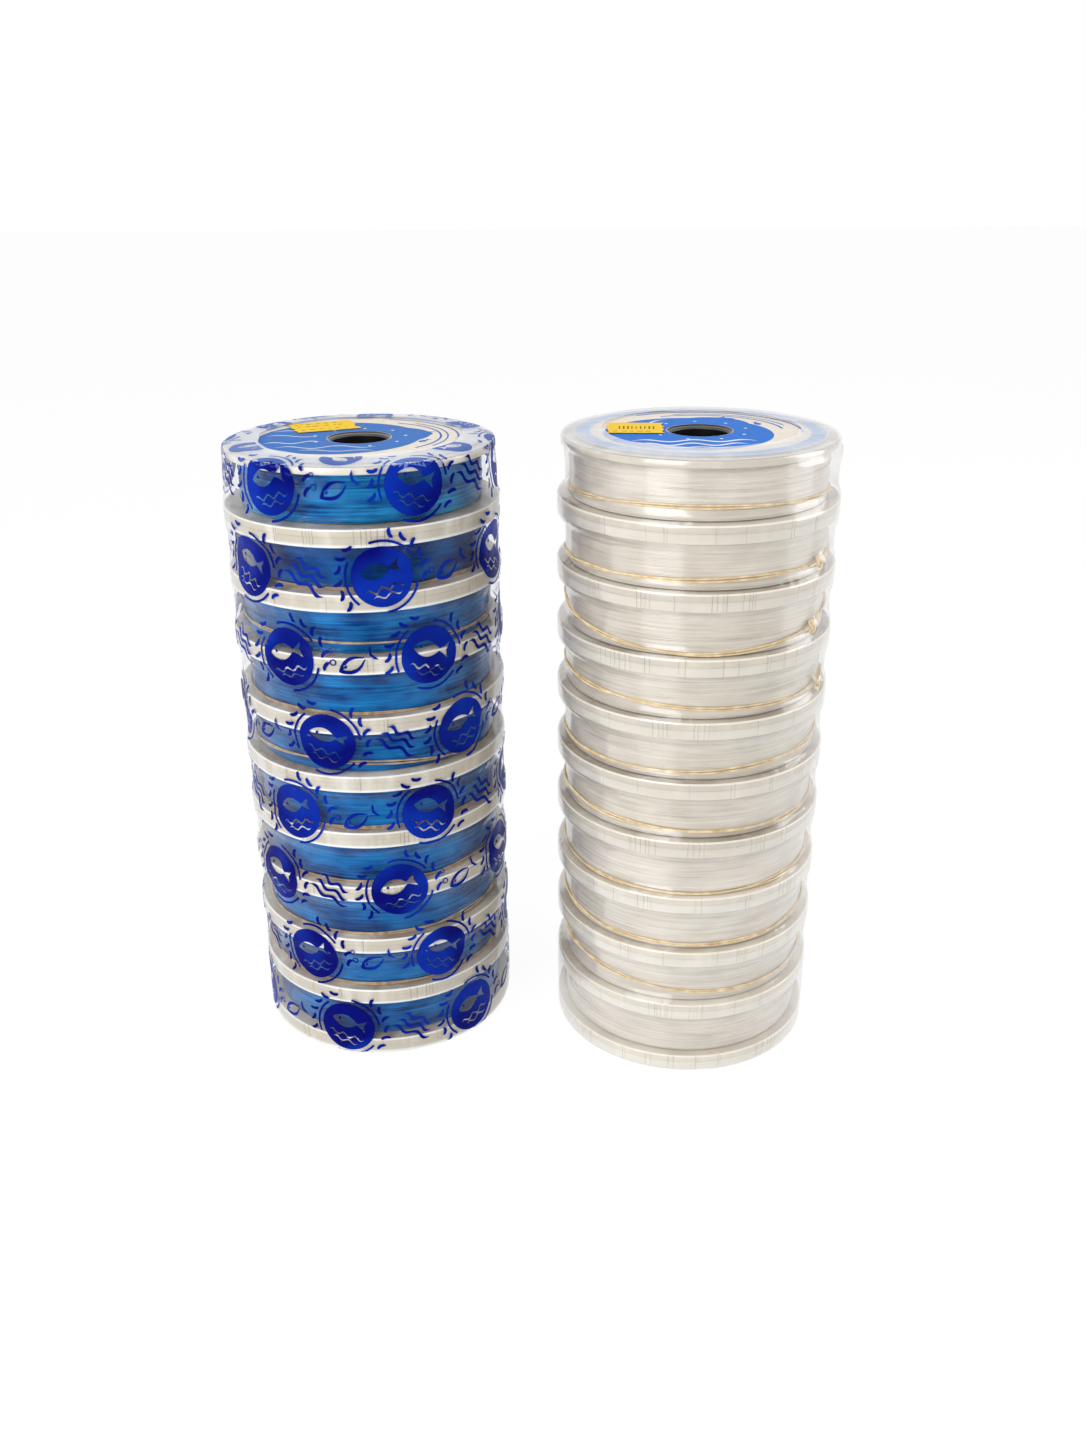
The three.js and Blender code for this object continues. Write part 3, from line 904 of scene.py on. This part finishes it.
PRINT_COLUMNS = 6
PRINT_ROW_GAP = 27.6 * MM
PRINT_START = -2 * MM  # the lowest row, measured along the film from its bottom opening
PRINT_SHIFTS = (0.0, 0.3, 0.05, -0.25)  # where rows start, in shares of a column
PRINT_OFFSET = 23.5 * MM  # from a disc to the motif beside it
PRINT_MARGIN = 1 * MM  # film left bare at both openings
FOLD_MOTIF = 0.84  # size of the discs that lie on the top fold
FOLD_MOTIF_DROP = 2 * MM  # from their middle to the film's top opening


def print_places(length):
    """Motif, distance along the film, angle, distance round it, lean and size of each print."""
    rows = int((length - PRINT_START) / PRINT_ROW_GAP) + 1
    for row in range(rows):
        along = PRINT_START + row * PRINT_ROW_GAP
        for column in range(PRINT_COLUMNS):
            theta = (column + PRINT_SHIFTS[row % 4]) / PRINT_COLUMNS * TAU
            lean = 0.25 * (-1) ** (row + column)
            second = "swell" if (row + column) % 2 else "fish"
            yield "roundel", along, theta, 0.0, lean, 1.0
            yield second, along, theta, PRINT_OFFSET, 2 * lean, 1.0
    for column in range(PRINT_COLUMNS):
        theta = (column + PRINT_SHIFTS[(rows - 1) % 4] + 0.5) / PRINT_COLUMNS * TAU
        yield "disc", length - FOLD_MOTIF_DROP, theta, 0.0, 0.6 * column, FOLD_MOTIF


def make_film_print(stack):
    """The motifs in a half-drop pattern over the wall and both folds of the film."""
    length = stack.profile[0][-1]
    low, high = PRINT_MARGIN, length - PRINT_MARGIN
    filled = {name: fill(loops, 1.5) for name, loops in
              (("roundel", roundel()), ("disc", roundel()[:5]), ("swell", swell()),
               ("fish", small_fish()))}
    parts, slots = [], []
    for name, along0, theta, shift, lean, size in print_places(length):
        points, triangles = filled[name]
        across, along = np.array(placed(points, turn=lean)).T * MM * size
        across, along = across + shift, along + along0
        kept = [t for t in triangles if any(low < along[i] < high for i in t)]
        if not kept:
            continue
        verts = film_points(stack, np.clip(along, low, high), theta + across / stack.rim_r,
                            INK_LIFT)
        parts.append((verts, kept))
        slots += [int(along[t[0]] > stack.lip_start) for t in kept]
    verts, faces = joined(parts)
    return make_piece("blue_film_print", verts, faces, [INK, INK_PALE],
                      face_slots=slots)


# ---- labels and stickers ----
def flat_piece(name, stack, layers, nodes, x=0.0, y=0.0, turn=0.0):
    """Filled outlines laid on the label, each layer a little above the one before it."""
    verts, faces, slots, materials = [], [], [], []
    for number, (loops, material, lift) in enumerate(layers):
        points, triangles = fill(loops, 4.0)
        start = len(verts)
        for px, py in placed(points, x, y, turn):
            verts.append(stack.at(px * MM, py * MM, stack.label_z + lift * MM))
        faces += [[i + start for i in face] for face in triangles]
        slots += [number] * len(triangles)
        materials.append(material)
    return make_piece(name, verts, faces, materials, nodes, slots)


def label_art(turn, flows):
    """Blue field, white flowing lines and dots, and cream ground with arcs and small fish."""
    def at(x, y):
        return placed([(x, y)], turn=turn)[0]

    field = [two_discs((*at(-6.5, 0), 26.5), (*at(10, 3), 13)), circle(0, 0, FIELD_HOLE_R, 48)]
    white = [wave(*at(x, y), length, swing, stroke, waves, turn + lean)
             for x, y, length, swing, stroke, waves, lean in flows]
    white += [circle(15.0 * math.cos(a), 15.0 * math.sin(a), 0.6, 12)
              for a in np.arange(9) / 9 * TAU + 0.2]
    blue = [arc(0, 0, radius, stroke, turn - spread, turn + spread + 0.3)
            for radius, stroke, spread in ((26.5, 0.7, 0.8), (28.8, 0.5, 0.6), (32.2, 0.6, 1.0))]
    blue += [fish(*at(22.5, 4), 7, turn + 1.3), fish(*at(21, -8), 5.5, turn + 0.9)]
    return field, white, blue


LABEL_HOLE_R = 10.4
FIELD_HOLE_R = 10.6
RING_MARGIN, RING_WIDTH = 0.6, 4.6  # the blue ring near a label's edge
STICKERS = {"blue": (21.5, 16.5, 0.42), "clear": (18.0, 17.5, -0.04)}  # length, width, turn
LABEL_FLOWS = {  # x, y, length, swing, stroke, number of waves and lean of each white line
    "blue": [(-16, 13, 26, 1.6, 0.8, 1.5, 0.1), (-22, 4, 17, 1.2, 0.7, 1.0, -0.1),
             (-21, -7, 18, 1.4, 0.9, 1.5, 0.1), (-10, -15, 32, 1.8, 0.8, 2.0, 0.0),
             (-6, -21, 24, 1.0, 0.7, 1.5, -0.1)],
    "clear": [(-6, 19, 30, 1.4, 0.8, 1.5, 0.0), (-15.3, -8.3, 38, 1.6, 1.5, 2.5, -0.9),
              (-20.2, -10.9, 34, 1.8, 1.6, 2.5, -0.9), (-24.3, -12.9, 24, 0.7, 0.9, 2.0, -0.9)],
}


def make_label(stack, cream_turn):
    """A paper disc: cream ground, a blue field with lines, and a blue ring near its edge."""
    outer = stack.label_r / MM
    field, white, blue = label_art(cream_turn, LABEL_FLOWS[stack.name])
    ring = [circle(0, 0, outer - edge, 96) for edge in (RING_MARGIN, RING_MARGIN + RING_WIDTH)]
    layers = [
        ([circle(0, 0, outer, 96), circle(0, 0, LABEL_HOLE_R, 48)], LABEL_CREAM, 0.0),
        (field, LABEL_BLUE[stack.name], 0.03),
        (ring, LABEL_PALE[stack.name], 0.03),
        (white, LABEL_WHITE, 0.06),
        (blue, LABEL_BLUE[stack.name], 0.06),
    ]
    return flat_piece(f"{stack.name}_label_paper", stack, layers,
                      [f"{stack.name}_label"])


def ragged_sheet(length, width, rng):
    """A rectangle with rounded corners and slightly torn short ends."""
    points = []
    for side in (1, -1):
        for k in range(13):
            points.append((side * length * (k / 12 - 0.5),
                           -side * width / 2 + rng.uniform(-0.12, 0.12)))
        torn = sorted((-0.9 * side, 0.5 * side))
        for k in range(1, 8):
            points.append((side * length / 2 + rng.uniform(*torn), side * width * (k / 8 - 0.5)))
    return points


def bar(x, y, width, height):
    return [(x, y), (x + width, y), (x + width, y + height), (x, y + height)]


def make_sticker(stack, rng, bars):
    """A torn yellow sheet with rows of plain dashes, and upright bars if asked for."""
    low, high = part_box(f"{stack.name}_sticker")
    x = ((low.x + high.x) / 2 - stack.centre.x) / MM
    y = ((low.y + high.y) / 2 - stack.centre.y) / MM
    length, width, turn = STICKERS[stack.name]
    marks = []
    if bars:
        for k in range(9):
            marks.append(bar(length * (0.075 * k - 0.3), -2.2, rng.uniform(0.25, 0.6), 4.8))
    for row in ((-0.36,) if bars else (-0.3, 0.05, 0.3)):
        at = -length * 0.4
        while at < length * 0.3:
            dash = rng.uniform(0.6, 2.0)
            marks.append(bar(at, row * width, dash, 0.6))
            at += dash + rng.uniform(0.7, 2.2)
    lift = (low.z - stack.label_z) / MM
    layers = [
        ([ragged_sheet(length, width, rng)], STICKER_YELLOW, lift),
        (marks, STICKER_PRINT, lift + 0.03),
    ]
    return flat_piece(f"{stack.name}_price_sticker", stack, layers,
                      [f"{stack.name}_sticker"], x, y, turn)


# ---- stage, lights and camera ----
FLOOR_REACH = 6.0
FLOOR_GLOW = 1.04
# How much of the floor is glow, to the camera, in a mirror and to any other light.
FLOOR_SEEN, FLOOR_MIRRORED, FLOOR_LIT = 0.9, 0.7, 0.3
SKY_LIGHT, SKY_MIRRORED = 0.45, 0.8
LAMP_AIM = Vector((0, 0, 0.1))
LAMPS = {  # place, size in two directions, and power
    "key": ((-0.6, -1.06, 0.57), (0.8, 1.3), 13.5),
    "fill": ((1.15, 0.05, 0.5), (0.7, 1.2), 7),
    "top": ((0.0, -0.2, 1.2), (0.8, 0.6), 2),
}


def make_floor():
    """A pale floor that the camera sees as almost white, with a soft shadow left on it."""
    mesh = bpy.data.meshes.new("floor")
    corners = [(-1, -1), (1, -1), (1, 1), (-1, 1)]
    mesh.from_pydata([(x * FLOOR_REACH, y * FLOOR_REACH, 0) for x, y in corners], [],
                     [(0, 1, 2, 3)])
    made = Material("pale_floor", 0.8, Base_Color=(0.9, 0.9, 0.9, 1))
    glow = made.add("Emission", {"Color": (1, 1, 1, 1), "Strength": FLOOR_GLOW})
    rays = made.add("LightPath").outputs
    direct = made.maths("MAXIMUM", rays["Is Camera Ray"], rays["Is Transmission Ray"])
    seen = made.grey(direct, 0.0, FLOOR_SEEN, 0.0, 1.0)
    mirrored = made.grey(rays["Is Glossy Ray"], FLOOR_LIT, FLOOR_MIRRORED, 0.0, 1.0)
    made.show(made.maths("MAXIMUM", seen, mirrored), made.surface.outputs[0], glow.outputs[0])
    mesh.materials.append(made.material)
    floor = new_object("floor", mesh)


def make_lamp(name, at, size, power):
    lamp = bpy.data.lights.new(name, "AREA")
    lamp.shape = "RECTANGLE"
    lamp.size, lamp.size_y = size
    lamp.energy = power
    holder = new_object(name, lamp)
    holder.location = at
    holder.rotation_euler = (LAMP_AIM - Vector(at)).to_track_quat("-Z", "Y").to_euler()


def make_world():
    """White to the camera, bright to reflections, softer as a light."""
    world = bpy.data.worlds.new("studio")
    bpy.context.scene.world = world
    world.use_nodes = True
    made = Nodes(world.node_tree)
    rays = made.add("LightPath").outputs
    mirrored = made.grey(rays["Is Glossy Ray"], SKY_LIGHT, SKY_MIRRORED, 0.0, 1.0)
    level = made.maths("MAXIMUM", rays["Is Camera Ray"], mirrored)
    back = made.nodes["Background"]
    back.inputs["Color"].default_value = (1, 1, 1, 1)
    made.links.new(level, back.inputs["Strength"])


def make_camera():
    camera = bpy.data.cameras.new("camera")
    camera.sensor_width = SENSOR
    camera.lens = FOCAL_PIXELS * SENSOR / IMAGE_LONG_SIDE
    camera.clip_start, camera.clip_end = 0.01, 50
    holder = new_object("camera", camera)
    turn = (Matrix.Rotation(CAMERA_YAW, 4, "Z")
            @ Matrix.Rotation(math.pi / 2 - CAMERA_PITCH, 4, "X")
            @ Matrix.Rotation(-CAMERA_ROLL, 4, "Z"))
    holder.matrix_world = Matrix.Translation(CAMERA_AT) @ turn
    bpy.context.scene.camera = holder


# ---- build ----
def make_spools(stack, plastic, lit_plastic, line, rubber):
    """A stack's spools with their windings and bands, from the top one down."""
    for number in range(1, SPOOLS + 1):
        rng = random.Random(f"{stack.name} {number}")
        # The lower spools take the lighter, lit copy of the plastic: painted light.
        make_spool(stack, number, plastic if number < FIRST_LIT_SPOOL else lit_plastic, rng)
        make_winding(stack, number, NYLONS[stack.name].get(number, line), rng)
        if number in BANDS[stack.name]:
            make_band(stack, number, rubber, rng)


make_camera()
make_world()
make_floor()
for name, (at, size, power) in LAMPS.items():
    make_lamp(name, at, size, power)
make_spools(BLUE, IVORY, IVORY, BLUE_NYLON, RUBBER_PALE)
make_spools(CLEAR, PEARL, LIT_PEARL, CLEAR_NYLON, RUBBER)
make_film(BLUE, PRINTED_FILM)
make_film(CLEAR, PLAIN_FILM)
make_film_print(BLUE)
make_label(BLUE, 0.1)
make_label(CLEAR, 0.9)
make_sticker(BLUE, random.Random(11), bars=False)
make_sticker(CLEAR, random.Random(12), bars=True)

bpy.context.scene.view_settings.view_transform = "Standard"
